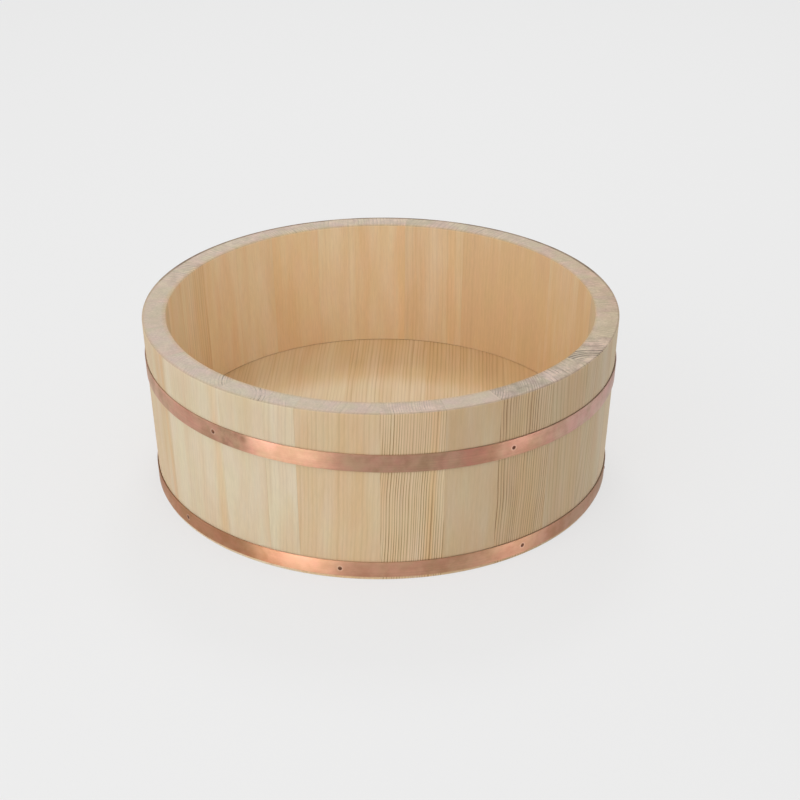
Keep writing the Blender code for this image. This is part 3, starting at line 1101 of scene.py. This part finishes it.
def build_hoop(strip_tree, prefix, copper):
    """A strip of copper with soft edges, bent round the staves."""
    name = f"{prefix}_hoop"
    bottom, top = hoop_edges(prefix)
    corners = []
    for height, out in ((top, 1), (bottom, 1), (bottom, 0), (top, 0)):
        radius = outer_radius(height) + HOOP_GAP + out * HOOP_THICKNESS
        corners.append((radius, -height, HOOP_EDGE))
    strip = closed_line(name, rounded(corners, HOOP_EDGE_STEPS))
    grow(
        strip, strip_tree, start=0.0, sweep=math.tau, sections=round(math.tau / FACET) + 1,
        capped=False, material=copper,
    )
    return finished(strip, f"{name}_copper")


def tack_mesh():
    """A domed tack with its point down, turned from its profile."""
    profile = []
    for step in range(TACK_DOME_STEPS + 1):
        angle = math.pi / 2 * step / TACK_DOME_STEPS
        profile.append((TACK_HEAD * math.sin(angle), 0, TACK_DOME * math.cos(angle)))
    profile.append((TACK_SHANK, 0, 0))
    profile.append((TACK_SHANK, 0, TACK_POINT - TACK_LENGTH))
    profile.append((0, 0, -TACK_LENGTH))
    bm = bmesh.new()
    points = [bm.verts.new(place) for place in profile]
    edges = [bm.edges.new(pair) for pair in zip(points, points[1:])]
    bmesh.ops.spin(
        bm, geom=points + edges, axis=(0, 0, 1), cent=(0, 0, 0), dvec=(0, 0, 0),
        angle=math.tau, steps=TACK_SIDES, use_duplicate=False,
    )
    bmesh.ops.remove_doubles(bm, verts=bm.verts, dist=MERGE)
    bmesh.ops.recalc_face_normals(bm, faces=bm.faces)
    return as_mesh(bm, "tack")


def build_tacks(tack_tree, prefix, count, first, height, copper):
    """The ring of tacks in one hoop, where the frame has them."""
    ring = added(prefix, tack_mesh())
    grow(
        ring, tack_tree, count=count, first_angle=first,
        radius=outer_radius(height) + HOOP_GAP + HOOP_THICKNESS, height=height, lean=TAPER,
        material=copper,
    )
    return finished(ring, f"{prefix}_hoop_tacks")


def build_hoops(strip_tree, tack_tree, copper_group):
    """Both hoops with their tacks, and the holes that the tacks fill."""
    for prefix, looks in HOOP_LOOKS.items():
        nodes = named_nodes(f"{prefix}_tack_")
        bottom, top = hoop_edges(prefix)
        tack_height = (bottom + top) / 2
        low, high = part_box(nodes[0])
        first = math.atan2(low.y + high.y, low.x + high.x)
        tacks_at = (first, math.tau / len(nodes), tack_height)
        seam = (SEAMS[prefix], SEAM_REACH, top - SPOT_DROP)
        strip_copper = copper_material(
            f"{prefix}_hoop_copper", copper_group, prefix, 1.0,
            {"Tacks": tacks_at, "Seam": seam, **looks},
        )
        tack_copper = copper_material(
            f"{prefix}_tack_copper", copper_group, prefix, 0.0,
            {"Tacks": NO_TACKS, "Seam": seam, **TACK_LOOKS},
        )
        hoop = tilted(build_hoop(strip_tree, prefix, strip_copper), prefix)
        tacks = build_tacks(tack_tree, prefix, len(nodes), first, tack_height, tack_copper)
        hoop = drill(hoop, tilted(tacks, prefix))
        dress(hoop, "hoop_copper", f"{prefix}_hoop")
        dress(tacks, "tack_copper", *nodes)


def dress_pegs():
    """The pegs hide in the floor, so the solids themselves stay and get bamboo."""
    bamboo = bamboo_material()
    for peg in named_nodes("floor_peg_"):
        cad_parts[peg].data.materials.clear()
        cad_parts[peg].data.materials.append(bamboo)


# The paper, the light and the camera

def camera_or_mirror(tree):
    """1 for rays from the camera or off a glossy surface."""
    path = node(tree, "ShaderNodeLightPath").outputs
    return maths(tree, "MAXIMUM", path["Is Camera Ray"], path["Is Glossy Ray"])


def paper_material():
    """White paper that keeps a part of the shadow and fades into the background far away."""
    material, tree, shader = new_material("paper")
    shader.inputs["Base Color"].default_value = (0.80, 0.80, 0.80, 1.0)
    shader.inputs["Roughness"].default_value = 1.0
    shader.inputs["Specular IOR Level"].default_value = 0.0
    out = vectors(tree, "LENGTH", object_place(tree))
    far = smooth(tree, out, *PAPER_FADE)
    brightness = mix_number(tree, far, PAPER_GLOW, BACKGROUND)
    glow = node(tree, "ShaderNodeEmission", {"Color": grey(tree, brightness), "Strength": 1.0})
    shown = mix_number(tree, far, 1.0 - PAPER_SHADE, 1.0)
    shown = times(tree, camera_or_mirror(tree), shown)
    both = node(tree, "ShaderNodeMixShader", {0: shown, 1: shader.outputs[0], 2: glow.outputs[0]})
    tree.links.new(both.outputs[0], tree.nodes["Material Output"].inputs["Surface"])
    return material


def lay_paper():
    """A pale sheet of paper under the tub."""
    bm = bmesh.new()
    bmesh.ops.create_grid(bm, x_segments=1, y_segments=1, size=PAPER_SIZE / 2)
    paper = added("paper", as_mesh(bm, "paper"))
    paper.data.materials.append(paper_material())


def hang_lamps():
    """A soft key light behind and fills in front, and panels that only the copper shows."""
    for name, azimuth, elevation, away, size, power, lights_wood in LAMPS:
        lamp = bpy.data.lights.new(name, "AREA")
        lamp.shape = "RECTANGLE"
        lamp.size, lamp.size_y = size
        lamp.energy = power
        holder = added(name, lamp)
        holder.visible_diffuse = lights_wood
        turn = Euler((0, -math.radians(elevation), math.radians(azimuth))).to_matrix()
        towards = turn @ Vector((1, 0, 0))
        holder.location = TUB_CENTRE + towards * away
        holder.rotation_euler = towards.to_track_quat("Z", "Y").to_euler()


def light_world():
    """Even light all round; the camera and the copper see the background's grey."""
    world = bpy.data.worlds.new("studio")
    bpy.context.scene.world = world
    world.use_nodes = True
    tree = world.node_tree
    background = tree.nodes["Background"]
    background.inputs["Color"].default_value = (1.0, 1.0, 1.0, 1.0)
    strength = remap(tree, camera_or_mirror(tree), 0.0, 1.0, WORLD_STRENGTH, BACKGROUND)
    tree.links.new(strength, background.inputs["Strength"])


def place_camera():
    """The photograph's view, looking down, with the tub a little left of the middle."""
    camera = bpy.data.cameras.new("camera")
    camera.lens = LENS
    camera.sensor_width = SENSOR
    holder = added("camera", camera)
    holder.rotation_euler = (math.pi / 2 - CAMERA_PITCH, 0, CAMERA_TURN)
    focal = LENS / SENSOR * PICTURE
    right = (CENTRE_PIXEL[0] - PICTURE / 2) / focal
    up = (PICTURE / 2 - CENTRE_PIXEL[1]) / focal
    turned = holder.rotation_euler.to_matrix()
    to_tub = turned @ Vector((right, up, -1.0)) * CAMERA_DISTANCE
    holder.location = TUB_CENTRE - to_tub
    bpy.context.scene.camera = holder


place_camera()
strip_tree = bent_strip_tree()
wood_group = solid_wood_group()
build_staves(strip_tree, wood_material("stave_wood", wood_group, STAVE_COLOURS, stave_masks))
build_planks(wood_material("floor_wood", wood_group, FLOOR_COLOURS, floor_masks))
build_hoops(strip_tree, tack_ring_tree(), worn_copper_group())
dress_pegs()
lay_paper()
hang_lamps()
light_world()
bpy.context.scene.view_settings.view_transform = "Standard"
